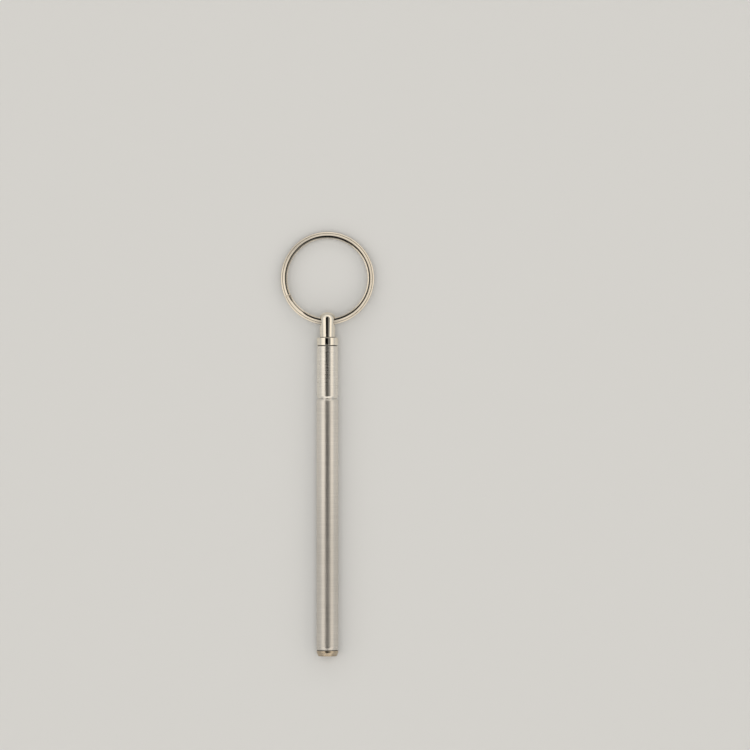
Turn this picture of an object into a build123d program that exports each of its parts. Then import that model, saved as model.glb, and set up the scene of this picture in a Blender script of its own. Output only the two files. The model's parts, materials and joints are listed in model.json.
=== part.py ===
from build123d import *
import math
import os

import numpy as np

# A telescopic key-ring pen, lying on its side with its axis along +Y and its ring at the far end.
# A thin tube slides out of the barrel, a short cap covers the nose, and a split ring hangs in the cap's eye.
# Sizes are in millimetres. Stations are distances along the pen from the outer face of its end plug.

# Fits
SEAT_GAP = 0.02        # between two pieces that are pressed or glued together
RUN_GAP = 0.05         # between two pieces that slide or turn on each other
GRIP_GAP = 0.04        # between the cap's liner and what it grips
FACE_GAP = 0.05        # between end faces that meet when the pen is closed or fully open

# Barrel
BARREL_OD = 6.0
BARREL_WALL = 0.35
BARREL_LENGTH = 68.95
MOUTH_BEVEL = 0.25
PLUG_HEAD_LENGTH = 1.55
PLUG_CHAMFER_LENGTH = 1.0
PLUG_CHAMFER_DEPTH = 0.42
PLUG_SPIGOT_LENGTH = 6.65
EDGE_BREAK = 0.12      # bevel of a turned edge
BUSH_WALL = 0.28
BUSH_LENGTH = 8.7
BUSH_RECESS = 0.3

# Inner tube and its sliding tail
TUBE_WALL = 0.3
TUBE_REACH = 2.3       # how far the closed tube stands out of the barrel
CLOSED_STOP_GAP = 0.3
TAIL_FLANGE_GAP = 0.15 # between the tail's flanges and the barrel's bore
TAIL_FLANGE_LENGTH = 1.0
TAIL_STOP_LENGTH = 0.85
TAIL_SPIGOT_LENGTH = 6.5
TAIL_FLOOR = 0.25
JOURNAL_DEPTH = 0.4
SHOE_LENGTH = 7.0
SHOE_WALL = 0.28
SHOE_SPLIT = 0.4

# Nose
NOSE_SHOULDER = 0.2    # step from the tube down to the nose
NOSE_SPIGOT_LENGTH = 5.0
NOSE_BASE_LENGTH = 3.0
NOSE_CONE_LENGTH = 7.0
NOSE_FRONT_OD = 1.9
NOSE_GROOVE_WIDTH = 0.4
NOSE_GROOVE_DEPTH = 0.12

# Refill
REFILL_OD = 2.35
REFILL_WALL = 0.3
REFILL_PLAY = 0.1
INK_AIR_GAP = 9.0      # empty length at the refill's tail
POINT_REACH = 2.0      # how far the point stands out of the nose
POINT_NECK_OD = 1.2
POINT_NECK_LENGTH = 6.0
POINT_TAPER_LENGTH = 1.1
POINT_SHOULDER_LENGTH = 0.7
POINT_BODY_LENGTH = 1.2
POINT_SPIGOT_LENGTH = 2.0
INK_DUCT_OD = 0.3
BALL_OD = 0.7
BALL_GAP = 0.015
BALL_RIM_WALL = 0.05
BALL_RIM_AHEAD = 0.1   # how far the crimped rim reaches past the ball's centre

# Cap
CAP_STEP = 0.05        # how far the cap's side stands in from the barrel's
CAP_WALL = 0.35
CAP_LIP_BEVEL = 0.3
TIP_ROOM = 0.5
LINER_RECESS = 0.3
FINIAL_SPIGOT_LENGTH = 2.5
FINIAL_CUP_GAP = 0.5
COLLAR_LENGTH = 2.1
NECK_OD = 4.05
HEAD_OD = 4.45
DOME_FLAT = 0.4
EYE_FLOOR = 2.9        # from the collar up to the eye
EYE_ROOF = 1.05
EYE_GAP = 0.15

# Split ring: one flat wire wound twice, with a crank between its two turns
RING_BORE = 22.0
WIRE_RADIAL = 1.8
WIRE_AXIAL = 0.8
WIRE_BEVEL = 0.25
TURN_GAP = 0.45
CRANK_START = 208.0    # degrees round the ring from +X, seen from above
CRANK_SWEEP = 32.0
CRANK_SECTIONS = 7
END_CLEARANCE = 4.0    # degrees from each free end to the crank

# Radii, from the barrel inwards
barrel_r = BARREL_OD / 2
barrel_bore_r = barrel_r - BARREL_WALL
bush_bore_r = barrel_bore_r - SEAT_GAP - BUSH_WALL
tube_r = bush_bore_r - RUN_GAP
tube_bore_r = tube_r - TUBE_WALL
spigot_r = tube_bore_r - SEAT_GAP
shoe_r = barrel_bore_r - RUN_GAP
flange_r = barrel_bore_r - TAIL_FLANGE_GAP
journal_r = flange_r - JOURNAL_DEPTH
shoe_bore_r = journal_r + RUN_GAP
nose_base_r = tube_r - NOSE_SHOULDER
nose_front_r = NOSE_FRONT_OD / 2
refill_r = REFILL_OD / 2
refill_bore_r = refill_r - REFILL_WALL
refill_seat_r = refill_r + RUN_GAP
neck_seat_r = POINT_NECK_OD / 2 + RUN_GAP
ball_r = BALL_OD / 2
socket_r = ball_r + BALL_GAP
cap_r = barrel_r - CAP_STEP
cap_bore_r = cap_r - CAP_WALL
head_r = HEAD_OD / 2

# Stations of the closed pen, from the rear forwards
barrel_rear = PLUG_HEAD_LENGTH
barrel_mouth = barrel_rear + BARREL_LENGTH
bush_front = barrel_mouth - BUSH_RECESS
bush_rear = bush_front - BUSH_LENGTH
plug_inner_end = barrel_rear + PLUG_SPIGOT_LENGTH
tail_rear = plug_inner_end + CLOSED_STOP_GAP
journal_rear = tail_rear + TAIL_FLANGE_LENGTH
shoe_rear = journal_rear + FACE_GAP
shoe_front = shoe_rear + SHOE_LENGTH
stop_rear = shoe_front + FACE_GAP
tube_rear = stop_rear + TAIL_STOP_LENGTH
tail_front = tube_rear + TAIL_SPIGOT_LENGTH
tail_floor = tube_rear + TAIL_FLOOR
tube_front = barrel_mouth + TUBE_REACH
nose_cone_rear = tube_front + NOSE_BASE_LENGTH
nose_front = nose_cone_rear + NOSE_CONE_LENGTH
tip = nose_front + POINT_REACH
ball_station = tip - ball_r
point_shoulder = tip - POINT_NECK_LENGTH
point_body_front = point_shoulder - POINT_SHOULDER_LENGTH
point_body_rear = point_body_front - POINT_BODY_LENGTH
point_rear = point_body_rear - POINT_SPIGOT_LENGTH
refill_rear = tail_floor + REFILL_PLAY
cap_rear = barrel_mouth + FACE_GAP
cap_front = tip + TIP_ROOM
finial_rear = cap_front - FINIAL_SPIGOT_LENGTH
liner_rear = cap_rear + LINER_RECESS
liner_front = finial_rear - FACE_GAP
collar_front = cap_front + COLLAR_LENGTH
travel = bush_rear - FACE_GAP - tube_rear

# The ring's section, and the eye that both its turns pass through
turn_pitch = WIRE_AXIAL + TURN_GAP
ring_r = RING_BORE / 2 + WIRE_RADIAL / 2
ring_outer_r = ring_r + WIRE_RADIAL / 2
stack_half = (turn_pitch + WIRE_AXIAL) / 2
side_half = stack_half - WIRE_BEVEL
bow_in_eye = head_r**2 / (2 * ring_r)
wire_reach = WIRE_RADIAL / 2 + bow_in_eye
eye_r = max(math.hypot(side_half, wire_reach), math.hypot(stack_half, wire_reach - WIRE_BEVEL)) + EYE_GAP
eye_station = collar_front + EYE_FLOOR + eye_r
head_front = eye_station + eye_r + EYE_ROOF

# The ring droops from its eye until its far edge lies on the surface that carries the barrel
axis_height = barrel_r
far_reach = ring_r + ring_outer_r
foot_reach = far_reach - WIRE_BEVEL
droop = math.asin(axis_height / math.hypot(foot_reach, stack_half)) - math.atan2(stack_half, foot_reach)
ring_far = eye_station + far_reach * math.cos(droop) + side_half * math.sin(droop)
laid = Pos(0, -ring_far / 2, axis_height) * Rot(-90, 0, 0)


def turned(*corners):
    """A piece turned about the pen's axis. A corner is (radius, station), or has its bevel as a third value."""
    outline = make_face(Polyline(*[corner[:2] for corner in corners], close=True))
    for radius, station, bevel in [corner for corner in corners if len(corner) == 3]:
        vertex = outline.vertices().sort_by_distance((radius, station, 0))[0]
        outline = chamfer(vertex, bevel)
    return revolve(Plane.XZ * outline, Axis.Z)


def make_barrel_tube():
    return turned(
        (barrel_bore_r, barrel_rear),
        (barrel_r, barrel_rear, EDGE_BREAK),
        (barrel_r, barrel_mouth, MOUTH_BEVEL),
        (barrel_bore_r, barrel_mouth),
    )


def make_end_plug():
    plug_r = barrel_bore_r - SEAT_GAP
    return turned(
        (0, 0),
        (barrel_r - PLUG_CHAMFER_DEPTH, 0, EDGE_BREAK),
        (barrel_r, PLUG_CHAMFER_LENGTH),
        (barrel_r, barrel_rear, EDGE_BREAK),
        (plug_r, barrel_rear),
        (plug_r, plug_inner_end, EDGE_BREAK),
        (0, plug_inner_end),
    )


def make_guide_bush():
    bush_r = barrel_bore_r - SEAT_GAP
    return turned(
        (bush_bore_r, bush_rear),
        (bush_r, bush_rear, EDGE_BREAK),
        (bush_r, bush_front),
        (bush_bore_r, bush_front, EDGE_BREAK),
    )


def make_slide_tube():
    return turned(
        (tube_bore_r, tube_rear),
        (tube_r, tube_rear),
        (tube_r, tube_front, EDGE_BREAK),
        (tube_bore_r, tube_front),
    )


def make_tail_bush():
    """The tube's tail: a journal between two flanges, the front one being the stop, and a spigot in the tube."""
    return turned(
        (0, tail_rear),
        (flange_r, tail_rear, EDGE_BREAK),
        (flange_r, journal_rear),
        (journal_r, journal_rear),
        (journal_r, stop_rear),
        (flange_r, stop_rear),
        (flange_r, tube_rear),
        (spigot_r, tube_rear),
        (spigot_r, tail_front, EDGE_BREAK),
        (refill_seat_r, tail_front, EDGE_BREAK),
        (refill_seat_r, tail_floor),
        (0, tail_floor),
    )


def make_friction_shoes():
    """Two bowed half shells: their ends sit on the tail's journal and their crowns rub on the barrel's bore."""
    middle = (shoe_rear + shoe_front) / 2
    shoe_end_r = shoe_bore_r + SHOE_WALL
    crown = ThreePointArc((shoe_end_r, shoe_rear), (shoe_r, middle), (shoe_end_r, shoe_front))
    belly = ThreePointArc((shoe_bore_r, shoe_front), (shoe_r - SHOE_WALL, middle), (shoe_bore_r, shoe_rear))
    strip = make_face([crown, Line(crown @ 1, belly @ 0), belly, Line(belly @ 1, crown @ 0)])
    shell = revolve(Plane.XZ * strip, Axis.Z)
    reach = 2 * shoe_r
    half_box = Box(reach, 2 * reach, 2 * SHOE_LENGTH)
    offset_x = (SHOE_SPLIT + reach) / 2
    return [shell & Pos(side * offset_x, 0, middle) * half_box for side in (-1, 1)]


def make_nose_cone():
    """The nose, bored through for the refill, with a grip groove turned near its base."""
    groove_rear = tube_front + (NOSE_BASE_LENGTH - NOSE_GROOVE_WIDTH) / 2
    groove_front = groove_rear + NOSE_GROOVE_WIDTH
    groove_r = nose_base_r - NOSE_GROOVE_DEPTH
    nose_rear = tube_front - NOSE_SPIGOT_LENGTH
    return turned(
        (refill_seat_r, nose_rear),
        (spigot_r, nose_rear, EDGE_BREAK),
        (spigot_r, tube_front),
        (nose_base_r, tube_front),
        (nose_base_r, groove_rear),
        (groove_r, groove_rear),
        (groove_r, groove_front),
        (nose_base_r, groove_front),
        (nose_base_r, nose_cone_rear),
        (nose_front_r, nose_front, EDGE_BREAK),
        (neck_seat_r, nose_front),
        (neck_seat_r, point_shoulder + RUN_GAP),
        (refill_seat_r, point_body_front + RUN_GAP),
    )


def make_refill_tube():
    return turned(
        (refill_bore_r, refill_rear),
        (refill_r, refill_rear),
        (refill_r, point_body_rear),
        (refill_bore_r, point_body_rear),
    )


def make_ink_column():
    ink_rear = refill_rear + INK_AIR_GAP
    ink_front = point_rear - SEAT_GAP
    ink_r = refill_bore_r - SEAT_GAP
    return turned((0, ink_rear), (ink_r, ink_rear), (ink_r, ink_front), (0, ink_front))


def make_refill_point():
    """The refill's turned point: a plug in the tube, a shoulder, a slim neck and the crimped socket of the ball."""
    rim_station = ball_station + BALL_RIM_AHEAD
    rim_r = socket_r + BALL_RIM_WALL
    neck_r = POINT_NECK_OD / 2
    plug_r = refill_bore_r - SEAT_GAP
    blank = turned(
        (0, point_rear),
        (plug_r, point_rear, EDGE_BREAK),
        (plug_r, point_body_rear),
        (refill_r, point_body_rear),
        (refill_r, point_body_front),
        (neck_r, point_shoulder),
        (neck_r, tip - POINT_TAPER_LENGTH),
        (rim_r, rim_station),
        (0, rim_station),
    )
    duct_length = ball_station - point_rear
    duct = Pos(0, 0, point_rear + duct_length / 2) * Cylinder(INK_DUCT_OD / 2, duct_length)
    return blank - Pos(0, 0, ball_station) * Sphere(socket_r) - duct


def make_writing_ball():
    return Pos(0, 0, ball_station) * Sphere(ball_r)


def make_cap_tube():
    return turned(
        (cap_bore_r, cap_rear),
        (cap_r - CAP_LIP_BEVEL / 2, cap_rear),
        (cap_r, cap_rear + CAP_LIP_BEVEL),
        (cap_r, cap_front, EDGE_BREAK),
        (cap_bore_r, cap_front),
    )


def make_cap_liner():
    """A sleeve with a wide mouth for the tube and a narrower throat for the nose."""
    liner_r = cap_bore_r - SEAT_GAP
    mouth_r = tube_r + GRIP_GAP
    throat_r = nose_base_r + GRIP_GAP
    throat_rear = tube_front + FACE_GAP
    return turned(
        (mouth_r, liner_rear, EDGE_BREAK),
        (liner_r, liner_rear),
        (liner_r, liner_front),
        (throat_r, liner_front),
        (throat_r, throat_rear),
        (mouth_r, throat_rear),
    )


def make_cap_finial():
    """The cap's polished end: a cupped spigot, a collar, and a domed head with a cross hole for the ring."""
    plug_r = cap_bore_r - SEAT_GAP
    cup_r = nose_front_r + FINIAL_CUP_GAP
    blank = turned(
        (cup_r, finial_rear),
        (plug_r, finial_rear, EDGE_BREAK),
        (plug_r, cap_front),
        (cap_r, cap_front, EDGE_BREAK),
        (cap_r, collar_front, EDGE_BREAK),
        (NECK_OD / 2, collar_front),
        (head_r, eye_station),
        (head_r, head_front),
        (0, head_front),
        (0, cap_front),
        (cup_r, cap_front),
    )
    domed = fillet(blank.edges().group_by(Axis.Z)[-1], head_r - DOME_FLAT)
    return domed - Pos(0, 0, eye_station) * Rot(0, 90, 0) * Cylinder(eye_r, 2 * HEAD_OD)


def wire_level(angle):
    """Height of the wire's middle in the ring at an angle of its crank: a smooth step from turn to turn."""
    step = (angle - CRANK_START) / CRANK_SWEEP
    return turn_pitch * (step * step * (3 - 2 * step) - 0.5)


def wire_section(angle, level):
    """The flat wire's bevelled section, square to the ring at an angle round it."""
    out = Vector(math.cos(math.radians(angle)), math.sin(math.radians(angle)), 0)
    along = Vector(-out.Y, out.X, 0)
    seat = Plane(origin=out * ring_r + Vector(0, 0, level), x_dir=out, z_dir=along)
    return seat * chamfer(Rectangle(WIRE_RADIAL, WIRE_AXIAL).vertices(), WIRE_BEVEL)


def least_turn_gap():
    """The least gap from the wire to itself, over pairs of points more than half a turn apart along it."""
    crank_end = CRANK_START + CRANK_SWEEP
    along = np.linspace(crank_end + END_CLEARANCE - 360, CRANK_START + 360 - END_CLEARANCE, 1500)
    on_crank = wire_level(np.clip(along, CRANK_START, crank_end))
    apart = np.abs(along[:, None] - along[None, :])
    turn_angle = np.radians(np.abs((apart + 180) % 360 - 180))
    stacked = np.maximum(np.abs(on_crank[:, None] - on_crank[None, :]) - WIRE_AXIAL, 0)
    gaps = np.hypot(turn_angle * RING_BORE / 2, stacked)
    return gaps[apart > 180].min()


def make_key_ring():
    """Two flat turns of one wire, joined by a crank that lifts it from the lower turn to the upper one."""
    crank_end = CRANK_START + CRANK_SWEEP
    turn_sweep = 360 - CRANK_SWEEP - END_CLEARANCE
    lower_turn = revolve(wire_section(crank_end + END_CLEARANCE, -turn_pitch / 2), Axis.Z, turn_sweep)
    upper_turn = revolve(wire_section(crank_end, turn_pitch / 2), Axis.Z, turn_sweep)
    angles = [CRANK_START + CRANK_SWEEP * i / (CRANK_SECTIONS - 1) for i in range(CRANK_SECTIONS)]
    crank = loft([wire_section(angle, wire_level(angle)) for angle in angles])
    ring = lower_turn + crank + upper_turn
    away = Vector(0, math.cos(droop), -math.sin(droop))
    eye = Vector(0, eye_station - ring_far / 2, axis_height)
    seat = Plane(origin=eye + away * ring_r, x_dir=(1, 0, 0), z_dir=(0, math.sin(droop), math.cos(droop)))
    return seat.location * ring


shoe_left, shoe_right = make_friction_shoes()
pieces = {
    "barrel_tube": make_barrel_tube(),
    "end_plug": make_end_plug(),
    "guide_bush": make_guide_bush(),
    "friction_shoe_left": shoe_left,
    "friction_shoe_right": shoe_right,
    "slide_tube": make_slide_tube(),
    "tail_bush": make_tail_bush(),
    "nose_cone": make_nose_cone(),
    "refill_tube": make_refill_tube(),
    "ink_column": make_ink_column(),
    "refill_point": make_refill_point(),
    "writing_ball": make_writing_ball(),
    "cap_tube": make_cap_tube(),
    "cap_liner": make_cap_liner(),
    "cap_finial": make_cap_finial(),
}
placed = {name: laid * piece for name, piece in pieces.items()}
placed["key_ring"] = make_key_ring()

os.makedirs("parts", exist_ok=True)
for name, piece in placed.items():
    export_step(piece, f"parts/{name}.step")

print(f"closed length {ring_far:.2f} with the ring, {head_front:.2f} without")
print(f"tube travel {travel:.2f}, open length without the cap {tip + travel:.2f}")
print(f"refill length {tip - refill_rear:.2f}, cap length {cap_front - cap_rear:.2f}")
print(f"eye {2 * eye_r:.2f} across at station {eye_station:.2f}, ring droops {math.degrees(droop):.2f} degrees")
print(f"least gap between the ring's turns {least_turn_gap():.3f}")
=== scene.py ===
"""Dresses a packed telescopic key-ring pen for its portrait.

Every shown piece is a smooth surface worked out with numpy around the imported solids, in their frame.
Sizes in the classes are millimetres, and stations run along the pen from the outer face of its end plug.
"""

import json
import logging
import math
from dataclasses import dataclass, field
from enum import Enum

import bmesh
import bpy
import numpy as np
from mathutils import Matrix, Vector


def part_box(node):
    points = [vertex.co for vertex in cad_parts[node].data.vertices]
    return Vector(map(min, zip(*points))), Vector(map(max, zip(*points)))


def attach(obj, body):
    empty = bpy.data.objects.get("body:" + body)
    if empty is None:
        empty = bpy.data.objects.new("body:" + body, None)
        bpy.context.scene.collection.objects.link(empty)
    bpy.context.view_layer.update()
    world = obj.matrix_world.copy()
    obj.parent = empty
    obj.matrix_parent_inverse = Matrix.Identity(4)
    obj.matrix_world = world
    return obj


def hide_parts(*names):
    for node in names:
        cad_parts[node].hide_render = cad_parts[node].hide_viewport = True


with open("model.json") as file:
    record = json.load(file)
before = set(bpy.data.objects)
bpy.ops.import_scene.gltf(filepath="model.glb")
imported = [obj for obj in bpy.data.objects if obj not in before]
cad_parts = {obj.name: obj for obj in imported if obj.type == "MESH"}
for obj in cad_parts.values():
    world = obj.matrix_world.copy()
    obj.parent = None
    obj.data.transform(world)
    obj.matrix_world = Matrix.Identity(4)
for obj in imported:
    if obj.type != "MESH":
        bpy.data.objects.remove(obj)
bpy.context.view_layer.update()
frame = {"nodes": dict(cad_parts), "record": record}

MM = 0.001
LOG = logging.getLogger("pen")

Pair = tuple[float, float]
Traced = tuple[np.ndarray, np.ndarray]
Colour = tuple[float, float, float]
BLACK: Colour = (0.0, 0.0, 0.0)

# Layers of noise in fine grain and in finger marks
FINE_LAYERS = 2.0
SLOW_LAYERS = 4.0

# Finger marks to a metre, and the levels of noise between which a mark fades in
MARKS_ACROSS = 160.0
MARKS_ALONG = 90.0
MARK_LEVELS = (0.42, 0.68)

# Levels of noise of the grain's darkest and palest lines
LINE_LEVELS = (0.3, 0.7)

# Share of the colour that shows through the painted shade in inner corners and joints, and the roughness
# added there
SHADE_SHARE = 0.1
SHADE_ROUGHNESS = 0.2

# Stations between which a finish goes dull towards the pen's rear, where it is held, and a painted shade
# darkens its colour
HELD_SHADE_FRONT = 58.0
HELD_SHADE_REAR = 28.0

# Points nearer than this, in metres, are one point, and edges sharper than this angle stay sharp
MERGE_DISTANCE = 2e-7
SHARP_ANGLE = math.radians(38)


class Body(Enum):
    """The moving bodies of the pen."""

    BARREL = "barrel"
    WRITING_TUBE = "writing_tube"
    BALL = "ball"
    CAP = "cap"
    RING = "ring"


class Slot(Enum):
    """The record's material slots."""

    BRUSHED_TUBE = "brushed_tube_steel"
    DRAWN_TUBE = "drawn_tube_steel"
    PLUG = "turned_plug_brass"
    FINIAL = "polished_finial_steel"
    NOSE = "polished_nose_steel"
    RING = "nickel_ring_wire"
    BRASS = "turned_brass"
    POINT = "refill_point_brass"
    BALL = "writing_ball_carbide"
    LINER = "liner_nylon"


class Grain(Enum):
    """The way that the fine lines of a finish run."""

    ROUND = "round the pen's axis"
    LENGTHWISE = "along the pen"
    WIRE = "along a wound wire"
    NONE = "in no direction"


class Wire:
    """An output of a node. Arithmetic on it adds Math nodes to its graph."""

    def __init__(self, graph: "Graph", socket: bpy.types.NodeSocket) -> None:
        """Keeps the graph and the socket that carries the value."""
        self.graph = graph
        self.socket = socket

    def math(
        self, operation: str, first: "Wire | float", second: "Wire | float" = 0.0, clamp: bool = False
    ) -> "Wire":
        """The result of one Math node on two values, kept from 0 to 1 where asked."""
        settings = {"operation": operation, "use_clamp": clamp}
        return self.graph.add("ShaderNodeMath", settings, {0: first, 1: second})

    def __add__(self, other: "Wire | float") -> "Wire":
        """This value plus another."""
        return self.math("ADD", self, other)

    def __sub__(self, other: "Wire | float") -> "Wire":
        """This value less another."""
        return self.math("SUBTRACT", self, other)

    def __mul__(self, other: "Wire | float") -> "Wire":
        """This value times another."""
        return self.math("MULTIPLY", self, other)

    def __pow__(self, other: float) -> "Wire":
        """This value to a power."""
        return self.math("POWER", self, other)

    def __abs__(self) -> "Wire":
        """This value without its sign."""
        return self.math("ABSOLUTE", self)

    def __neg__(self) -> "Wire":
        """This value with its sign turned round."""
        return self.math("MULTIPLY", self, -1.0)

    def clamped(self) -> "Wire":
        """This value kept from 0 to 1."""
        return self.math("ADD", self, 0.0, clamp=True)

    def step(self, start: float, end: float) -> "Wire":
        """A smooth step from 0 at start to 1 at end.

        Args:
            start: Where the step starts.
            end: Where it ends. It may be less than start, for a step down.

        Returns:
            The step's height.
        """
        limits = {"Value": self, "From Min": start, "From Max": end}
        if end < start:
            limits |= {"From Min": end, "From Max": start, "To Min": 1.0, "To Max": 0.0}
        return self.graph.add("ShaderNodeMapRange", {"interpolation_type": "SMOOTHSTEP"}, limits)


class Graph:
    """The node tree of a material or of the world."""

    def __init__(self, owner: bpy.types.Material | bpy.types.World) -> None:
        """Empties its owner's tree, to build it anew."""
        owner.use_nodes = True
        self.tree = owner.node_tree
        self.tree.nodes.clear()

    @staticmethod
    def _pick(sockets: bpy.types.bpy_prop_collection, key: str | int) -> bpy.types.NodeSocket:
        """The socket in use that has a name or a place."""
        if isinstance(key, int):
            return sockets[key]
        return next(socket for socket in sockets if socket.enabled and socket.name == key)

    def add(
        self, kind: str, settings: dict | None = None, inputs: dict | None = None, output: str | int = 0
    ) -> Wire | None:
        """Adds any node.

        Args:
            kind: The node's type.
            settings: Its properties, which are set first.
            inputs: Values or wires for its sockets, by name or place.
            output: The output that is wanted, by name or place.

        Returns:
            That output, or nothing for a node that has none.
        """
        node = self.tree.nodes.new(kind)
        for key, value in (settings or {}).items():
            setattr(node, key, value)
        for key, value in (inputs or {}).items():
            socket = self._pick(node.inputs, key)
            if isinstance(value, Wire):
                self.tree.links.new(value.socket, socket)
            else:
                socket.default_value = value
        return Wire(self, self._pick(node.outputs, output)) if node.outputs else None

    def outputs(self, first: Wire, *names: str) -> list[Wire]:
        """Other outputs, by name, of the node that a wire comes from."""
        return [Wire(self, first.socket.node.outputs[name]) for name in names]

    def coordinates(self, kind: str) -> list[Wire]:
        """The three parts of a texture coordinate."""
        parts = self.add("ShaderNodeSeparateXYZ", inputs={0: self.add("ShaderNodeTexCoord", output=kind)})
        return self.outputs(parts, "X", "Y", "Z")

    def noise(self, x: Wire, y: Wire, z: Wire | float, layers: float) -> Wire:
        """Noise about 0.5 at a point that three values give, with finer layers added."""
        point = self.add("ShaderNodeCombineXYZ", None, {"X": x, "Y": y, "Z": z})
        return self.add("ShaderNodeTexNoise", None, {"Vector": point, "Scale": 1.0, "Detail": layers})

    def blend(self, factor: Wire, first: Wire | Colour, second: Wire | Colour) -> Wire:
        """A colour between two colours: the first where the factor is 0, the second where it is 1."""
        a, b = (end if isinstance(end, Wire) else (*end, 1.0) for end in (first, second))
        return self.add("ShaderNodeMix", {"data_type": "RGBA"}, {"Factor": factor, "A": a, "B": b}, "Result")

    def attribute(self, name: str) -> Wire:
        """A value that the mesh keeps at each of its points."""
        return self.add("ShaderNodeAttribute", {"attribute_name": name}, None, "Fac")


@dataclass(frozen=True)
class PenAxis:
    """The pen's axis, which runs along +Y, in metres."""

    rear: float
    height: float

    @classmethod
    def of_frame(cls) -> "PenAxis":
        """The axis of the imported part, from the box of its end plug."""
        low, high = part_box("end_plug")
        return cls(rear=low.y, height=(low.z + high.z) / 2)

    def place(self, across: np.ndarray, station: np.ndarray, up: np.ndarray) -> np.ndarray:
        """Points in metres from millimetres beside, along and above the axis."""
        parts = np.broadcast_arrays(across * MM, self.rear + station * MM, self.height + up * MM)
        return np.stack(parts, axis=-1)


AXIS = PenAxis.of_frame()


@dataclass(frozen=True)
class Finish:
    """A surface finish with fine grain, finger marks, worn edges, and painted shade in corners and joints."""

    name: str
    colour: Colour
    roughness: float
    metallic: float = 1.0
    grain: Grain = Grain.ROUND
    pitch: float = 0.1  # between the lines of the grain
    run: float = 6.0  # length of a line
    depth: float = 0.0004  # height of the grain
    streak: float = 0.06  # roughness that the lines add or take
    tone: float = 0.1  # how far the colour swings over the lines
    haze: float = 0.06  # roughness of finger marks
    polish: float = 0.3  # share of the roughness that wear takes off an edge
    shade_strength: float = 0.9  # how far the painted shade in corners and joints darkens the colour
    dull: float = 0.0  # roughness that holding adds
    rear_shade: float = 0.0  # how far a painted shade darkens the colour towards the pen's rear

    def _lines(self, graph: Graph, x: Wire, y: Wire, up: Wire) -> Wire:
        """Noise that is fine across the grain and long along it.

        Args:
            graph: The material's graph.
            x: Place beside the axis.
            y: Place along the axis.
            up: Place above the axis.

        Returns:
            The grain's height, about 0.5.
        """
        fine, long = 1 / (self.pitch * MM), 1 / (self.run * MM)
        if self.grain is Grain.ROUND:
            radius = (x * x + up * up) ** 0.5
            return graph.noise(radius * fine + x * long, y * fine, up * long, FINE_LAYERS)
        if self.grain is Grain.LENGTHWISE:
            return graph.noise(x * fine, y * long, up * fine, FINE_LAYERS)
        if self.grain is Grain.WIRE:
            along, around = graph.attribute("along"), graph.attribute("around")
            return graph.noise(along * long, around * fine, 0.0, FINE_LAYERS)
        return graph.noise(x * fine, y * fine, up * fine, FINE_LAYERS)

    def _scaled(self, share: float) -> Colour:
        """The finish's colour times a share, kept to 1."""
        return tuple(min(1.0, channel * share) for channel in self.colour)

    def material(self) -> bpy.types.Material:
        """The finish as a material.

        Roughness is the finish's own, plus the grain's streaks and slow finger marks, less the shine of worn
        edges. Colour swings a little with the grain, and a painted shade darkens it in inner corners and
        joints.
        A finish that goes dull is rougher towards the pen's rear, where it is held, and a painted shade
        darkens its colour there.

        Returns:
            The material, made once for each name.
        """
        name = f"{self.name}_finish"
        made = bpy.data.materials.get(name)
        if made is not None:
            return made
        made = bpy.data.materials.new(name)
        graph = Graph(made)
        x, y, z = graph.coordinates("Object")
        up = z - AXIS.height
        lines = self._lines(graph, x, y, up)
        slow = graph.noise(x * MARKS_ACROSS, y * MARKS_ALONG, up * MARKS_ACROSS, SLOW_LAYERS)
        wear_and_shade = graph.attribute("wear_and_shade")
        # A negative value is painted shade in inner corners and joints, and a positive one is real wear
        worn, painted_shade = wear_and_shade.clamped(), (-wear_and_shade).clamped()
        rough = (lines - 0.5) * self.streak + self.roughness + slow.step(*MARK_LEVELS) * self.haze
        rough = (rough - worn * (self.polish * self.roughness) + painted_shade * SHADE_ROUGHNESS).clamped()
        tint = graph.blend(lines.step(*LINE_LEVELS), self._scaled(1 - self.tone), self._scaled(1 + self.tone))
        if self.dull:
            # Towards the rear the roughness rises, and a painted shade darkens the colour
            held_and_shaded = y.step(AXIS.rear + HELD_SHADE_FRONT * MM, AXIS.rear + HELD_SHADE_REAR * MM)
            rough = (rough + held_and_shaded * self.dull).clamped()
            tint = graph.blend(held_and_shaded * self.rear_shade, tint, BLACK)
        # Painted shade: the colour darkens in inner corners and joints
        tint = graph.blend(painted_shade * self.shade_strength, tint, self._scaled(SHADE_SHARE))
        bump = graph.add("ShaderNodeBump", None, {"Distance": self.depth * MM, "Height": lines})
        sockets = {"Base Color": tint, "Metallic": self.metallic, "Roughness": rough, "Normal": bump}
        shader = graph.add("ShaderNodeBsdfPrincipled", None, sockets)
        graph.add("ShaderNodeOutputMaterial", None, {"Surface": shader})
        return made


# The barrel's colour takes a painted shade towards its rear
BRUSHED_BARREL = Finish(
    "brushed_barrel_steel", (0.76, 0.72, 0.66), 0.32,
    pitch=0.12, depth=0.022, tone=0.06, haze=0.03, dull=0.035, rear_shade=0.12,
)
BRUSHED_CAP = Finish(
    "brushed_cap_steel", (0.82, 0.78, 0.71), 0.26, pitch=0.12, depth=0.012, tone=0.06, haze=0.03
)
DRAWN_TUBE = Finish("drawn_tube_steel", (0.76, 0.73, 0.69), 0.2, grain=Grain.LENGTHWISE, run=30.0)
TURNED_PLUG = Finish("turned_plug_brass", (0.48, 0.40, 0.30), 0.24, pitch=0.26, depth=0.02, tone=0.18)
POLISHED_FINIAL = Finish(
    "polished_finial_steel", (0.86, 0.80, 0.69), 0.06, pitch=0.2, depth=0.0002, streak=0.02, tone=0.02
)
POLISHED_NOSE = Finish("polished_nose_steel", (0.74, 0.72, 0.69), 0.12, pitch=0.08, depth=0.0003)
NICKEL_RING = Finish(
    "nickel_ring_wire", (0.72, 0.655, 0.555), 0.14, grain=Grain.WIRE, pitch=0.3, run=14.0, depth=0.02
)
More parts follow.
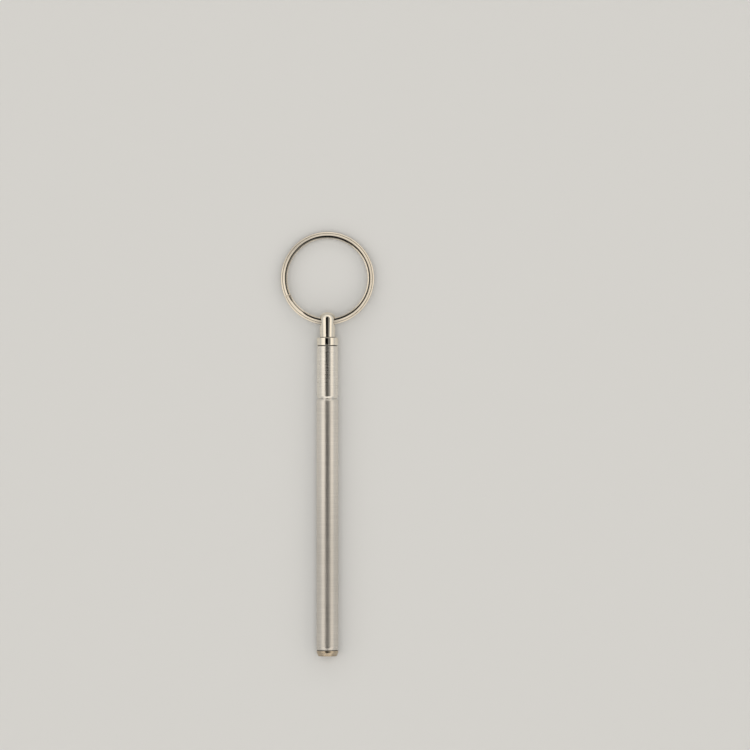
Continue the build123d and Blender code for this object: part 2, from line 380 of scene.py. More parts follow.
TURNED_BRASS = Finish("turned_brass", (0.80, 0.64, 0.32), 0.24, pitch=0.15, depth=0.001)
REFILL_STEEL = Finish("refill_tube_steel", (0.72, 0.71, 0.69), 0.3, grain=Grain.LENGTHWISE, run=20.0)
POINT_BRASS = Finish("refill_point_brass", (0.82, 0.66, 0.34), 0.18, pitch=0.08)
BALL_CARBIDE = Finish("writing_ball_carbide", (0.55, 0.55, 0.56), 0.22, grain=Grain.NONE, pitch=0.03)
WRITING_INK = Finish(
    "writing_ink", (0.03, 0.04, 0.12), 0.12, metallic=0.0, grain=Grain.NONE, pitch=0.5, depth=0.0
)
LINER_NYLON = Finish("liner_nylon", (0.82, 0.80, 0.74), 0.42, metallic=0.0, grain=Grain.NONE, tone=0.03)


@dataclass
class Patch:
    """A grid of points on a surface, closed round its columns, with values that its finish reads."""

    points: np.ndarray
    values: dict[str, np.ndarray] = field(default_factory=dict)
    closed_rows: bool = False

    def faces(self, first: int) -> np.ndarray:
        """The quads between neighbouring rows and columns.

        Args:
            first: Number of the grid's first point in the whole mesh.

        Returns:
            Four point numbers for each quad.
        """
        rows, columns = self.points.shape[:2]
        index = first + np.arange(rows * columns).reshape(rows, columns)
        if self.closed_rows:
            index = np.vstack([index, index[:1]])
        index = np.hstack([index, index[:, :1]])
        corners = [index[:-1, :-1], index[:-1, 1:], index[1:, 1:], index[1:, :-1]]
        return np.stack(corners, axis=-1).reshape(-1, 4)


@dataclass(frozen=True)
class Corner:
    """A corner of a turned outline: its radius, its station and how far it is rounded.

    At a joint with another piece, its deep side is the one towards the corner after it (1) or before it (-1).
    """

    radius: float
    station: float
    rounding: float = 0.0
    deep: int = 0


def arc(radius: float, centre: float, angles: np.ndarray, aside: float = 0.0) -> list[Corner]:
    """Corners along a circle, at angles from the pen's front. Its centre may lie aside from the axis."""
    return [Corner(aside + radius * math.sin(a), centre + radius * math.cos(a)) for a in angles.tolist()]


@dataclass
class Outline:
    """The outline of a turned piece. A closed one goes round a wall, an open one starts and ends on the axis.

    A rounded corner's arc reaches along its two sides. On each, a guard point two reaches from the tip, but
    short of the side's middle, keeps the flat flat. In a corner that goes down into a joint, a painted shade
    sinks in over a share of the arc.
    """

    corners: list[Corner]
    closed: bool = True
    arc_points: int = 7
    guard_reaches: float = 2.0
    guard_limit: float = 0.49
    sink_start: float = 0.2
    sink_sweep: float = 0.4

    def _corner(self, before: np.ndarray, corner: Corner, after: np.ndarray) -> Traced:
        """Points of one corner. Its rounding is the arc that touches both its sides.

        Args:
            before: The corner before it.
            corner: The corner.
            after: The corner after it.

        Returns:
            Points in the outline, and their wear and painted shade: 1 (wear) on an outer arc, -1 (painted
            shade) on an inner one, 0 on a flat, and falling from 1 to -1 over an arc that goes down into a
            joint.
        """
        tip = np.array([corner.radius, corner.station])
        if corner.rounding <= 0:
            return tip[None], np.zeros(1)
        back, ahead = before - tip, after - tip
        back_length, ahead_length = np.hypot(*back), np.hypot(*ahead)
        back, ahead = back / back_length, ahead / ahead_length
        half = math.acos(np.clip(back @ ahead, -1, 1)) / 2
        reach = corner.rounding / math.tan(half)
        centre = tip + (back + ahead) / np.hypot(*(back + ahead)) * corner.rounding / math.sin(half)
        start, end = tip + back * reach - centre, tip + ahead * reach - centre
        turn = math.pi - 2 * half
        share = np.linspace(0, 1, self.arc_points)[:, None]
        curve = centre + (np.sin((1 - share) * turn) * start + np.sin(share * turn) * end) / math.sin(turn)
        guard = self.guard_reaches * reach
        first = tip + back * min(guard, self.guard_limit * back_length)
        last = tip + ahead * min(guard, self.guard_limit * ahead_length)
        outer = np.sign(ahead[0] * back[1] - ahead[1] * back[0])
        sunk = share[:, 0] if corner.deep > 0 else 1 - share[:, 0]
        sunk = np.clip((sunk - self.sink_start) / self.sink_sweep, 0, 1) * abs(corner.deep)
        # The values are real wear on an outer arc (1) and painted shade in an inner corner or joint (-1)
        wear_and_shade = [[min(0, corner.deep)], outer * (1 - sunk) - sunk, [-max(0, corner.deep)]]
        return np.vstack([first, curve, last]), np.concatenate(wear_and_shade)

    def traced(self) -> Traced:
        """The whole outline.

        Returns:
            Its points, and the wear and painted shade of each.
        """
        spots = [np.array([corner.radius, corner.station]) for corner in self.corners]
        following = spots[1:] + spots[:1]
        runs = [self._corner(spots[i - 1], corner, following[i]) for i, corner in enumerate(self.corners)]
        return np.vstack([points for points, _ in runs]), np.concatenate([wear_and_shade for _, wear_and_shade in runs])

    def turned(self, segments: int = 128) -> Patch:
        """The outline turned about the pen's axis: x = r sin a, y = station, z = r cos a above the axis.

        Args:
            segments: Number of steps round the axis.

        Returns:
            The turned surface.
        """
        points, wear_and_shade = self.traced()
        angle = np.arange(segments) / segments * 2 * math.pi
        radius, station = points[:, :1], points[:, 1:]
        grid = AXIS.place(radius * np.sin(angle), station, radius * np.cos(angle))
        return Patch(grid, {"wear_and_shade": np.repeat(wear_and_shade[:, None], segments, 1)}, closed_rows=self.closed)


def weld(name: str, patches: list[Patch]) -> bpy.types.Mesh:
    """Joins patches into one closed mesh.

    Their points are stacked, points that coincide are merged, and faces are turned outwards.

    Args:
        name: The mesh's name.
        patches: The patches, whose edges meet.

    Returns:
        The mesh, shaded smooth but for sharp corners.
    """
    sizes = [patch.points.shape[0] * patch.points.shape[1] for patch in patches]
    starts = np.cumsum([0, *sizes[:-1]])
    points = np.vstack([patch.points.reshape(-1, 3) for patch in patches])
    faces = np.vstack([patch.faces(int(start)) for patch, start in zip(patches, starts)])
    mesh = bpy.data.meshes.new(name)
    mesh.from_pydata(points.tolist(), [], faces.tolist())
    for key in patches[0].values:
        values = np.concatenate([patch.values[key].ravel() for patch in patches]).astype(np.float32)
        mesh.attributes.new(key, "FLOAT", "POINT").data.foreach_set("value", values)
    work = bmesh.new()
    work.from_mesh(mesh)
    bmesh.ops.remove_doubles(work, verts=work.verts, dist=MERGE_DISTANCE)
    bmesh.ops.recalc_face_normals(work, faces=work.faces)
    work.to_mesh(mesh)
    work.free()
    mesh.shade_smooth()
    mesh.set_sharp_from_angle(angle=SHARP_ANGLE)
    return mesh


def put(name: str, data: bpy.types.ID) -> bpy.types.Object:
    """Puts an object in the scene.

    Args:
        name: Its name.
        data: Its mesh, lamp or lens.

    Returns:
        The object.
    """
    made = bpy.data.objects.new(name, data)
    bpy.context.scene.collection.objects.link(made)
    return made


@dataclass
class Piece:
    """A shown piece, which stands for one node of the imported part."""

    node: str
    body: Body
    slot: Slot
    finish: Finish
    patches: list[Patch]

    def make(self) -> None:
        """Makes the piece's object and sets it in the frame."""
        mesh = weld(f"{self.node}_surface", self.patches)
        mesh.materials.append(self.finish.material())
        made = put(f"{self.node}_surface", mesh)
        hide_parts(self.node)
        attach(made, self.body.value)
        LOG.info("%s: %d faces in %s", made.name, len(mesh.polygons), self.finish.name)


def dress_node(node: str, finish: Finish) -> None:
    """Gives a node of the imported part, whose own shape stays, its finish.

    Args:
        node: The node's name.
        finish: Its finish.
    """
    shown = frame["nodes"][node]
    if not shown.material_slots:
        shown.data.materials.append(None)
    for slot in shown.material_slots:
        slot.material = finish.material()
    LOG.info("%s: its own shape in %s", node, finish.name)


@dataclass
class Barrel:
    """The outer tube, the plug that closes it and the bush in its mouth."""

    radius: float = 3.0
    bore: float = 2.65
    rear: float = 1.55
    rear_slot: float = 0.12
    rear_edge: float = 0.08
    rear_bevel: float = 0.7
    rear_drop: float = 0.14
    rear_sweep: float = 1.2
    mouth: float = 70.5
    mouth_edge: float = 0.06
    mouth_bevel: float = 0.34
    mouth_drop: float = 0.16
    bevel_edge: float = 0.1
    bore_edge: float = 0.05
    edge: float = 0.12
    fit: float = 0.02
    plug_face: float = 2.58
    plug_chamfer: float = 1.0
    plug_shoulder: float = 0.2
    plug_end: float = 8.2
    bush_bore: float = 2.35
    bush_rear: float = 61.5
    bush_front: float = 70.2
    bush_front_edge: float = 0.04
    bush_lead: float = 0.1

    def tube(self) -> list[Patch]:
        """A plain wall with its ends bevelled, a little at the rear and more at the mouth."""
        end = self.rear + self.rear_slot
        wall = [
            Corner(self.bore, end),
            Corner(self.radius - self.rear_drop, end, self.rear_edge, deep=-1),
            Corner(self.radius, end + self.rear_bevel, self.rear_sweep),
            Corner(self.radius, self.mouth - self.mouth_bevel, self.bevel_edge),
            Corner(self.radius - self.mouth_drop, self.mouth, self.mouth_edge, deep=1),
            Corner(self.bore, self.mouth, self.bore_edge),
        ]
        return [Outline(wall).turned()]

    def plug(self) -> list[Patch]:
        """A solid plug with a chamfered head."""
        spigot = self.bore - self.fit
        solid = [
            Corner(0, 0),
            Corner(self.plug_face, 0, self.edge),
            Corner(self.radius, self.plug_chamfer, self.plug_shoulder),
            Corner(self.radius, self.rear, self.edge, deep=1),
            Corner(spigot, self.rear, self.rear_slot),
            Corner(spigot, self.plug_end, self.edge),
            Corner(0, self.plug_end),
        ]
        return [Outline(solid, closed=False).turned()]

    def bush(self) -> list[Patch]:
        """A plain bearing with a lead-in at its front."""
        outside = self.bore - self.fit
        wall = [
            Corner(self.bush_bore, self.bush_rear),
            Corner(outside, self.bush_rear, self.rear_edge),
            Corner(outside, self.bush_front, self.bush_front_edge),
            Corner(self.bush_bore, self.bush_front, self.bush_lead),
        ]
        return [Outline(wall).turned()]

    def make(self) -> None:
        """Makes the barrel's pieces."""
        Piece("barrel_tube", Body.BARREL, Slot.BRUSHED_TUBE, BRUSHED_BARREL, self.tube()).make()
        Piece("end_plug", Body.BARREL, Slot.PLUG, TURNED_PLUG, self.plug()).make()
        Piece("guide_bush", Body.BARREL, Slot.BRASS, TURNED_BRASS, self.bush()).make()


@dataclass
class WritingTube:
    """The inner tube, its nose and the refill that it carries."""

    radius: float = 2.3
    bore: float = 2.0
    rear: float = 17.45
    front: float = 72.8
    front_edge: float = 0.12
    thin_edge: float = 0.04
    turned_edge: float = 0.1
    fit: float = 0.02
    nose_rear: float = 67.8
    nose_base: float = 2.1
    nose_step_edge: float = 0.05
    groove_rear: float = 74.1
    groove_front: float = 74.5
    groove_depth: float = 0.12
    groove_edge: float = 0.03
    cone_rear: float = 75.8
    cone_sweep: float = 0.6
    nose_front: float = 82.8
    nose_front_radius: float = 0.95
    refill_seat: float = 1.225
    neck_seat: float = 0.65
    seat_neck: float = 78.85
    seat_body: float = 78.15
    point_rear: float = 74.9
    point_plug: float = 0.855
    point_edge: float = 0.08
    body_rear: float = 76.9
    body_rear_edge: float = 0.06
    body_front: float = 78.1
    body_radius: float = 1.175
    neck_rear: float = 78.8
    neck_radius: float = 0.6
    taper_rear: float = 83.7
    taper_sweep: float = 0.3
    rim: float = 84.55
    rim_radius: float = 0.415
    rim_edge: float = 0.02
    duct: float = 0.15
    socket_radius: float = 0.365
    socket_points: int = 12
    point_segments: int = 96
    ball: float = 84.45
    ball_radius: float = 0.35
    ball_points: int = 33
    ball_segments: int = 64

    def tube(self) -> list[Patch]:
        """A thin wall with a softened front edge."""
        wall = [
            Corner(self.bore, self.rear),
            Corner(self.radius, self.rear),
            Corner(self.radius, self.front, self.front_edge),
            Corner(self.bore, self.front, self.thin_edge),
        ]
        return [Outline(wall).turned()]

    def nose(self) -> list[Patch]:
        """A bored nose: a spigot, a base with a grip groove, and a cone."""
        spigot, groove = self.bore - self.fit, self.nose_base - self.groove_depth
        wall = [
            Corner(self.refill_seat, self.nose_rear),
            Corner(spigot, self.nose_rear, self.turned_edge),
            Corner(spigot, self.front),
            Corner(self.nose_base, self.front, self.nose_step_edge),
            Corner(self.nose_base, self.groove_rear, self.groove_edge),
            Corner(groove, self.groove_rear, self.groove_edge),
            Corner(groove, self.groove_front, self.groove_edge),
            Corner(self.nose_base, self.groove_front, self.groove_edge),
            Corner(self.nose_base, self.cone_rear, self.cone_sweep),
            Corner(self.nose_front_radius, self.nose_front, self.turned_edge),
            Corner(self.neck_seat, self.nose_front, self.thin_edge),
            Corner(self.neck_seat, self.seat_neck),
            Corner(self.refill_seat, self.seat_body),
        ]
        return [Outline(wall).turned()]

    def point(self) -> list[Patch]:
        """The refill's point: a plug, a shoulder, a neck, a taper and the crimped socket round the ball."""
        mouth = math.acos((self.rim - self.ball) / self.socket_radius)
        throat = math.pi - math.asin(self.duct / self.socket_radius)
        wall = [
            Corner(self.duct, self.point_rear),
            Corner(self.point_plug, self.point_rear, self.point_edge),
            Corner(self.point_plug, self.body_rear),
            Corner(self.body_radius, self.body_rear, self.body_rear_edge),
            Corner(self.body_radius, self.body_front, self.turned_edge),
            Corner(self.neck_radius, self.neck_rear, self.point_edge),
            Corner(self.neck_radius, self.taper_rear, self.taper_sweep),
            Corner(self.rim_radius, self.rim, self.rim_edge),
            *arc(self.socket_radius, self.ball, np.linspace(mouth, throat, self.socket_points)),
        ]
        return [Outline(wall).turned(self.point_segments)]

    def writing_ball(self) -> list[Patch]:
        """A ball: half a circle turned about the axis."""
        half = arc(self.ball_radius, self.ball, np.linspace(math.pi, 0, self.ball_points))
        return [Outline(half, closed=False).turned(self.ball_segments)]

    def make(self) -> None:
        """Makes the writing tube's pieces, and dresses those that never show outside."""
        Piece("slide_tube", Body.WRITING_TUBE, Slot.DRAWN_TUBE, DRAWN_TUBE, self.tube()).make()
        Piece("nose_cone", Body.WRITING_TUBE, Slot.NOSE, POLISHED_NOSE, self.nose()).make()
        Piece("refill_point", Body.WRITING_TUBE, Slot.POINT, POINT_BRASS, self.point()).make()
        Piece("writing_ball", Body.BALL, Slot.BALL, BALL_CARBIDE, self.writing_ball()).make()
        for node in ("tail_bush", "friction_shoe_left", "friction_shoe_right"):
            dress_node(node, TURNED_BRASS)
        dress_node("refill_tube", REFILL_STEEL)
        dress_node("ink_column", WRITING_INK)


@dataclass
class Cap:
    """The cap's tube and liner, and the finial with the eye that the ring hangs in."""

    radius: float = 2.95
    bore: float = 2.6
    rear: float = 70.55
    front: float = 85.3
    front_slot: float = 0.18
    lip_slot: float = 0.13
    thin_edge: float = 0.05
    lip_bevel: float = 0.6
    lip_drop: float = 0.3
    turned_edge: float = 0.1
    edge: float = 0.12
    fit: float = 0.02
    liner_rear: float = 70.85
    liner_front: float = 82.75
    liner_mouth: float = 2.34
    liner_edge: float = 0.06
    liner_throat: float = 2.14
    throat_rear: float = 72.85
    finial_rear: float = 82.8
    cup: float = 1.45
    collar_front: float = 87.4
    collar_edge: float = 0.14
    neck_radius: float = 2.025
    head_radius: float = 2.225
    head_front: float = 94.35
    dome_flat: float = 0.4
    eye: float = 91.80
    eye_radius: float = 1.5
    eye_round: float = 0.16
    patch_low: float = 88.2
    patch_high: float = 94.1
    half_turn_steps: int = 64
    side_steps: int = 44
    skin_rows: int = 18
    skin_start: float = 0.05
    skin_crowding: float = 1.2
    rim_rows: int = 7
    bore_rows: int = 9
    crown_rows: int = 16

    def tube(self) -> list[Patch]:
        """A short wall with a bevelled lip that meets the barrel."""
        lip, end = self.rear + self.lip_slot, self.front - self.front_slot
        wall = [
            Corner(self.bore, lip),
            Corner(self.radius - self.lip_drop, lip, self.thin_edge, deep=-1),
            Corner(self.radius, lip + self.lip_bevel, self.turned_edge),
            Corner(self.radius, end, self.edge, deep=1),
            Corner(self.bore, end),
        ]
        return [Outline(wall).turned()]

    def liner(self) -> list[Patch]:
        """A sleeve with a wide mouth for the tube and a narrow throat for the nose."""
        outside = self.bore - self.fit
        wall = [
            Corner(self.liner_mouth, self.liner_rear, self.turned_edge),
            Corner(outside, self.liner_rear, self.liner_edge),
            Corner(outside, self.liner_front),
            Corner(self.liner_throat, self.liner_front),
            Corner(self.liner_throat, self.throat_rear, self.thin_edge),
            Corner(self.liner_mouth, self.throat_rear),
        ]
        return [Outline(wall).turned()]

    @property
    def crown(self) -> float:
        """Radius of the arc that rounds the head over to its small flat."""
        return self.head_radius - self.dome_flat

    def head_profile(self, station: np.ndarray) -> np.ndarray:
        """Radius of the head: a taper up to the eye, a straight part, and a crown rounded to a small flat.

        Args:
            station: Stations along the head.

        Returns:
            The radius at each station.
        """
        side = np.interp(station, [self.collar_front, self.eye], [self.neck_radius, self.head_radius])
        rise = np.clip(station - (self.head_front - self.crown), 0, self.crown)
        return np.where(rise > 0, self.dome_flat + np.sqrt(self.crown**2 - rise**2), side)

    def _eye_side(self) -> np.ndarray:
        """The half of the head round one mouth of the eye.

        Rays run from the mouth's rim to the border of the half. The rim itself is a quadratic curve from the
        head's side over the rim into the eye.

        Returns:
            Points beside, along and above the axis, in rows from the eye outwards.
        """
        turn = np.linspace(-math.pi / 2, math.pi / 2, self.half_turn_steps + 1)
        side = np.linspace(self.patch_low, self.patch_high, self.side_steps + 1)[1:-1]
        low, high = np.full_like(turn, self.patch_low), np.full_like(turn, self.patch_high)
        flat = np.full_like(side, math.pi / 2)
        border_station = np.concatenate([low, side, high, side[::-1]])
        border_turn = np.concatenate([turn, flat, turn[::-1], -flat])
        ray = np.arctan2(border_turn * self.head_radius, border_station - self.eye)
        rim_station = self.eye + self.eye_radius * np.cos(ray)
        rim_up = self.eye_radius * np.sin(ray)
        rim_turn = np.arcsin(rim_up / self.head_profile(rim_station))
        share = np.linspace(self.skin_start, 1, self.skin_rows)[:, None] ** self.skin_crowding
        station = rim_station + (border_station - rim_station) * share
        angle = rim_turn + (border_turn - rim_turn) * share
        radius = self.head_profile(station)
        skin = np.stack([radius * np.cos(angle), station, radius * np.sin(angle)], axis=-1)
        rim_across = np.sqrt(self.head_profile(rim_station) ** 2 - rim_up**2)
        rim = np.stack([rim_across, rim_station, rim_up], axis=-1)
        inside = rim - np.array([self.eye_round, 0, 0])
        bend = np.linspace(0, 1, self.rim_rows + 1)[:-1, None, None]
        curve = (1 - bend) ** 2 * inside + 2 * bend * (1 - bend) * rim + bend**2 * skin[0]
        return np.concatenate([curve, skin])

    def finial(self) -> list[Patch]:
        """The cap's turned end.

        Returns:
            A cupped spigot and collar, the crown, two halves of the head round the eye, and the eye's bore.
        """
        columns = 2 * self.half_turn_steps
        spigot, neck = self.bore - self.fit, float(self.head_profile(np.array(self.patch_low)))
        foot = [
            Corner(0, self.front),
            Corner(self.cup, self.front),
            Corner(self.cup, self.finial_rear),
            Corner(spigot, self.finial_rear, self.turned_edge),
            Corner(spigot, self.front, self.front_slot),
            Corner(self.radius, self.front, self.edge, deep=-1),
            Corner(self.radius, self.collar_front, self.collar_edge),
            Corner(self.neck_radius, self.collar_front, self.edge),
            Corner(neck, self.patch_low),
        ]
        base = self.head_front - self.crown
        turn = np.linspace(math.acos((self.patch_high - base) / self.crown), 0, self.crown_rows)
        top = [*arc(self.crown, base, turn, self.dome_flat), Corner(0, self.head_front)]
        side = self._eye_side()
        wear_and_shade = np.zeros(side.shape[:2])
        wear_and_shade[: self.rim_rows] = 1.0
        mouth = side[0]
        across = np.linspace(-1, 1, self.bore_rows)[:, None] * mouth[:, 0]
        bore = AXIS.place(across, mouth[:, 1], mouth[:, 2])
        halves = [AXIS.place(sign * side[..., 0], side[..., 1], side[..., 2]) for sign in (1, -1)]
        return [
            Outline(foot, closed=False).turned(columns),
            Outline(top, closed=False).turned(columns),
            *[Patch(half, {"wear_and_shade": wear_and_shade}) for half in halves],
            Patch(bore, {"wear_and_shade": np.zeros(bore.shape[:2])}),
        ]

    def make(self) -> None:
        """Makes the cap's pieces."""
        Piece("cap_tube", Body.CAP, Slot.BRUSHED_TUBE, BRUSHED_CAP, self.tube()).make()
        Piece("cap_liner", Body.CAP, Slot.LINER, LINER_NYLON, self.liner()).make()
        Piece("cap_finial", Body.CAP, Slot.FINIAL, POLISHED_FINIAL, self.finial()).make()


@dataclass
class SplitRing:
    """The key ring: one wire wound twice, with a crank where it climbs from its lower turn to its upper one.

    Places in its section are outwards from the wire's middle, halves are heights from there, and angles are
    degrees round the ring from +X.
    """

    mean_radius: float = 11.9
    width: float = 1.8
    slit: float = 0.08
    ridge_place: float = -0.3
    ridge_half: float = 0.485
    ridge_round: float = 0.8
    crease_place: float = 0.42
    crease_width: float = 0.2
    crease_depth: float = 0.045
    crease_round: float = 0.02
    nose_half: float = 0.02
    heel_half: float = 0.31
    edge: float = 0.12
    flat_half: float = 0.505
    flat_crown: float = 0.01
    crank_start: float = 208.0
    crank_sweep: float = 32.0
    crank_ease: float = 0.18
    change_sweep: float = 18.0
    end_clearance: float = 4.0
    end_round: float = 0.3
    end_fullness: float = 0.45
    end_rows: int = 9
    path_rows: int = 720

    def section(self, upper: bool) -> Traced:
        """The wire's section in the upper turn or in the lower one.

        Its outer face rises from a thin outer nose up a creased flank to a ridge, and falls to an inner heel.
        Its face towards the other turn is flat, but for a slight crown.

        Args:
            upper: Whether the outer face is the one above.

        Returns:
            Places outwards and upwards from the wire's middle, and the wear of each.
        """
        half, lip = self.width / 2, self.crease_width / 2
        slope = (self.ridge_half - self.nose_half) / (half - self.ridge_place)
        places = (self.crease_place + lip, self.crease_place, self.crease_place - lip)
        crease = [
            Corner(place, self.nose_half + (half - place) * slope - sunk, self.crease_round)
            for place, sunk in zip(places, (0.0, self.crease_depth, 0.0))
        ]
        outer = [
            Corner(half, self.nose_half, self.edge),
            *crease,
            Corner(self.ridge_place, self.ridge_half, self.ridge_round),
            Corner(-half, self.heel_half, self.edge),
        ]
        crown = [self.flat_half + self.flat_crown * (1 - (corner.radius / half) ** 2) for corner in outer]
        inner = [Corner(corner.radius, height, corner.rounding) for corner, height in zip(outer, crown)]
        above, below = (outer, inner) if upper else (inner, outer)
        below = [Corner(corner.radius, -corner.station, corner.rounding) for corner in reversed(below)]
        return Outline(above + below).traced()

    def path(self) -> Traced:
        """The wire's path from end to end.

        Returns:
            Angles along the wire in degrees, and how full its section is there, for its rounded ends.
        """
        crank_end = self.crank_start + self.crank_sweep
        first, last = crank_end + self.end_clearance - 360, self.crank_start + 360 - self.end_clearance
        turn = np.linspace(0, math.pi / 2, self.end_rows)
        reach = np.degrees(self.end_round / self.mean_radius)
        closing = reach * (1 - np.cos(turn))
        middle = np.linspace(first + reach, last - reach, self.path_rows)[1:-1]
        angles = np.concatenate([first + closing, middle, (last - closing)[::-1]])
        full = np.concatenate([np.sin(turn), np.ones_like(middle), np.sin(turn)[::-1]])
        return angles, full**self.end_fullness

    def _climb(self, angle: np.ndarray) -> np.ndarray:
        """Share of the climb from the lower turn to the upper one.

        In the crank the wire climbs at an even slope, eased at both ends over a share of it by parabolas.

        Args:
            angle: Angles along the wire, in degrees.

        Returns:
            A share from 0 to 1 at each angle.
        """
        ease = self.crank_ease
        step = np.clip((angle - self.crank_start) / self.crank_sweep, 0, 1)
        start, end = np.minimum(step, ease), np.minimum(1 - step, ease)
        climbed = np.clip(step, ease, 1 - ease) - ease + (start**2 + ease**2 - end**2) / (2 * ease)
        return climbed / (1 - ease)

    def wire(self) -> list[Patch]:
        """The section carried along the path, laid in the ring's plane at the cap's eye.

        Just before the crank, under the wire's upper end, its section goes over from the lower turn's to the
        upper turn's.

        Returns:
            The wire's surface.
        """
        seat = next(mount for mount in frame["record"]["mounts"] if mount["name"] == "ring_eye")
        origin, normal = np.array(seat["pos_m"]), np.array(seat["axis"])
        beside = np.array([1.0, 0.0, 0.0])
        ahead = np.cross(normal, beside)
        degrees, full = self.path()
        angle, rise = np.radians(degrees), self._climb(degrees)[:, None]
        change = np.clip((degrees - self.crank_start) / self.change_sweep + 1, 0, 1)[:, None]
        (lower, lower_wear), (upper, upper_wear) = self.section(False), self.section(True)
        out, up = (lower[:, axis] + (upper - lower)[:, axis] * change for axis in (0, 1))
        pitch = 2 * (self.flat_half + self.flat_crown) + self.slit
        radius = self.mean_radius + full[:, None] * out
        height = pitch * (rise - 0.5) + full[:, None] * up
        heading = np.cos(angle)[:, None] * beside + np.sin(angle)[:, None] * ahead
        points = origin + (radius[..., None] * heading[:, None] + height[..., None] * normal) * MM
        girth = np.concatenate([[0], np.cumsum(np.hypot(*np.diff(upper, axis=0).T))])
        shape = points.shape[:2]
        values = {
            "wear_and_shade": np.clip(lower_wear + (upper_wear - lower_wear) * change, 0, 1),
            "along": np.broadcast_to((angle * self.mean_radius * MM)[:, None], shape),
            "around": np.broadcast_to(girth * MM, shape),
        }
        return [Patch(points, values)]

    def make(self) -> None:
        """Makes the ring."""
        Piece("key_ring", Body.RING, Slot.RING, NICKEL_RING, self.wire()).make()


@dataclass(frozen=True)
class Band:
    """A range of angles, in degrees, that fades in from its edge to its full part, and out again."""

    edge_in: float
    full_in: float
    full_out: float
    edge_out: float

    def covers(self, angle: Wire) -> Wire:
        """How far an angle lies in the band, from 0 to 1."""
        rise = angle.step(math.radians(self.edge_in), math.radians(self.full_in))
        return rise * angle.step(math.radians(self.edge_out), math.radians(self.full_out))


@dataclass(frozen=True)
class Panel:
    """A soft bright wall of the room.

    It swells and fades with the angle from overhead, and fades with the angle from straight beside the pen.
    """

    colour: Colour
    lean: Band
    end_full: float
    end_edge: float

    def covers(self, lean: Wire, facing: Wire) -> Wire:
        """How much of the wall shows at an angle from overhead and an angle from beside the pen."""
        beside = facing.step(math.radians(self.end_edge), math.radians(self.end_full))
        return self.lean.covers(lean) * beside


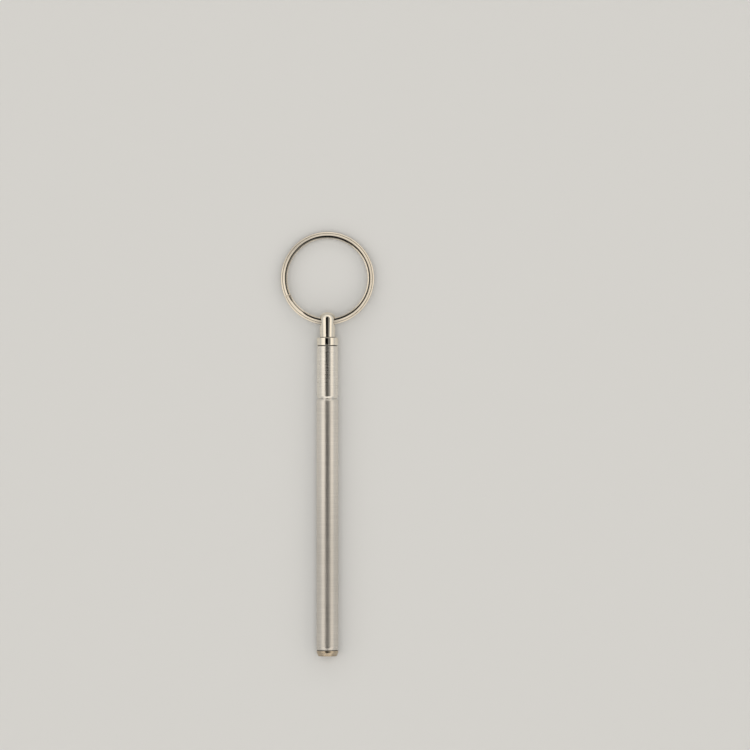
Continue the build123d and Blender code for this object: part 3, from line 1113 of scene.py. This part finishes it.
@dataclass
class Studio:
    """The pale floor, the lamp over it, the room's light and the camera that looks straight down on the pen.

    Its sizes are metres, but the sensor's is millimetres. Angles are degrees. Limits run from none to all.
    """

    view_centre: Pair = (0.01305, 0.0189)
    view_width: float = 0.2059
    view_height: float = 0.003
    camera_distance: float = 1.2
    sensor: float = 36.0
    floor_flat: float = 1.3
    floor_bend: float = 0.8
    floor_rings: int = 27
    bend_rings: int = 25
    floor_segments: int = 96
    floor_far: Pair = (0.3, 1.1)
    floor_colour: Colour = (0.62, 0.62, 0.61)
    wall_colour: Colour = (0.60, 0.60, 0.595)
    room_colour: Colour = (0.52, 0.52, 0.515)
    left: Panel = Panel((1.14, 1.09, 1.01), Band(18.0, 30.0, 40.0, 104.0), 15.0, 78.0)
    right: Panel = Panel((1.13, 1.06, 0.96), Band(22.0, 36.0, 44.0, 98.0), 50.0, 92.0)
    side_change: Pair = (-0.12, 0.12)
    bright: Colour = (1.15, 1.10, 1.03)
    border: Panel = Panel(bright, Band(24.0, 31.0, 36.0, 46.0), 62.0, 82.0)
    gap_length: Band = Band(-27.0, -15.0, 32.0, 44.0)
    gap_middle: float = 6.0
    gap_straight: float = 10.0
    gap_taper: float = 1.4
    gap_left: Pair = (-0.45, -0.36)
    gap_right: Pair = (0.2, 0.08)
    shade_right: Pair = (0.62, 0.5)
    gap_colour: Colour = (0.002, 0.002, 0.002)
    shade_colour: Colour = (0.22, 0.22, 0.215)
    strip_length: Band = Band(46.0, 52.0, 62.0, 76.0)
    strip_side: Pair = (0.75, 0.5)
    lamp_place: tuple[float, float, float] = (0.0, 0.01, 1.5)
    lamp_size: float = 1.2
    lamp_radiance: float = 2.2

    def floor(self) -> None:
        """A round floor that bends up, by the quarter of a circle, so that no edge shows behind the pen."""
        flat = np.linspace(0, self.floor_flat, self.floor_rings)
        turn = np.linspace(0, math.pi / 2, self.bend_rings)[1:]
        radius = np.concatenate([flat, self.floor_flat + self.floor_bend * np.sin(turn)])[:, None]
        height = np.concatenate([np.zeros_like(flat), self.floor_bend * (1 - np.cos(turn))])[:, None]
        angle = np.arange(self.floor_segments) / self.floor_segments * 2 * math.pi
        grid = np.stack(np.broadcast_arrays(radius * np.cos(angle), radius * np.sin(angle), height), axis=-1)
        mesh = bpy.data.meshes.new("studio_floor")
        mesh.from_pydata(grid.reshape(-1, 3).tolist(), [], Patch(grid).faces(0).tolist())
        mesh.shade_smooth()
        mesh.materials.append(self.floor_material())
        put("studio_floor", mesh)

    def floor_material(self) -> bpy.types.Material:
        """Matt and pale near the pen, and as bright as the room far from it, where the lamp doesn't reach.

        Returns:
            The floor's material.
        """
        made = bpy.data.materials.new("pale_floor")
        graph = Graph(made)
        x, y, z = graph.coordinates("Object")
        far = ((x * x + y * y + z * z) ** 0.5).step(*self.floor_far)
        direct = graph.add("ShaderNodeLightPath", output="Is Camera Ray")
        glossy, clear = graph.outputs(direct, "Is Glossy Ray", "Is Transmission Ray")
        matt = graph.add("ShaderNodeBsdfDiffuse", None, {"Color": (*self.floor_colour, 1.0)})
        glow = graph.add("ShaderNodeEmission", None, {"Color": (*self.wall_colour, 1.0)})
        factor = far * (direct + glossy + clear).clamped()
        surface = graph.add("ShaderNodeMixShader", None, {0: factor, 1: matt, 2: glow})
        graph.add("ShaderNodeOutputMaterial", None, {"Surface": surface})
        return made

    def room(self) -> None:
        """Even light from all sides, bright walls, and a dark gap overhead that metal shows as a streak.

        A wall stands on either side of the pen, a brighter border lies along the gap's sides, and a bright
        strip lies over each end of the pen. The gap narrows towards its ends and has half shade on its right.
        """
        world = bpy.data.worlds.new("studio_room")
        bpy.context.scene.world = world
        graph = Graph(world)
        x, y, z = graph.coordinates("Generated")
        lean, along = z.math("ARCCOSINE", z), y.math("ARCTAN2", y, z)
        facing = abs(y).math("ARCTAN2", abs(y), abs(x))
        left, right = x.step(*reversed(self.side_change)), x.step(*self.side_change)
        tint = graph.blend(self.left.covers(lean, facing) * left, self.room_colour, self.left.colour)
        tint = graph.blend(self.right.covers(lean, facing) * right, tint, self.right.colour)
        tint = graph.blend(self.border.covers(lean, facing), tint, self.border.colour)
        past = abs(along - math.radians(self.gap_middle)) - math.radians(self.gap_straight)
        across = x * (past.math("MAXIMUM", past, 0.0) * self.gap_taper + 1.0)
        gap = self.gap_length.covers(along) * across.step(*self.gap_left)
        tint = graph.blend(gap * across.step(*self.shade_right), tint, self.shade_colour)
        tint = graph.blend(gap * across.step(*self.gap_right), tint, self.gap_colour)
        strip = self.strip_length.covers(abs(along)) * abs(x).step(*self.strip_side)
        tint = graph.blend(strip, tint, self.bright)
        light = graph.add("ShaderNodeBackground", None, {"Color": tint})
        graph.add("ShaderNodeOutputWorld", None, {"Surface": light})

    def lamp(self) -> None:
        """A square lamp that metal doesn't mirror. Its power is its radiance times its area times pi."""
        light = bpy.data.lights.new("overhead_lamp", "AREA")
        light.size = self.lamp_size
        light.energy = self.lamp_radiance * self.lamp_size**2 * math.pi
        made = put("overhead_lamp", light)
        made.location = self.lamp_place
        made.visible_glossy = False

    def camera(self) -> None:
        """A long lens straight above, whose frame is the photograph's at the height of the pen's axis."""
        lens = bpy.data.cameras.new("portrait_camera")
        lens.sensor_width = self.sensor
        lens.lens = self.sensor * self.camera_distance / self.view_width
        made = put("portrait_camera", lens)
        made.location = (*self.view_centre, self.view_height + self.camera_distance)
        bpy.context.scene.camera = made

    def make(self) -> None:
        """Sets up the studio."""
        self.camera()
        self.floor()
        self.room()
        self.lamp()
        bpy.context.scene.view_settings.view_transform = "Standard"


def main() -> None:
    """Builds the studio and the pen's sub-assemblies in order."""
    logging.basicConfig(level=logging.INFO, format="%(name)s: %(message)s")
    for maker in (Studio(), Barrel(), WritingTube(), Cap(), SplitRing()):
        LOG.info("making the %s", type(maker).__name__)
        maker.make()


if __name__ == "__main__":
    main()
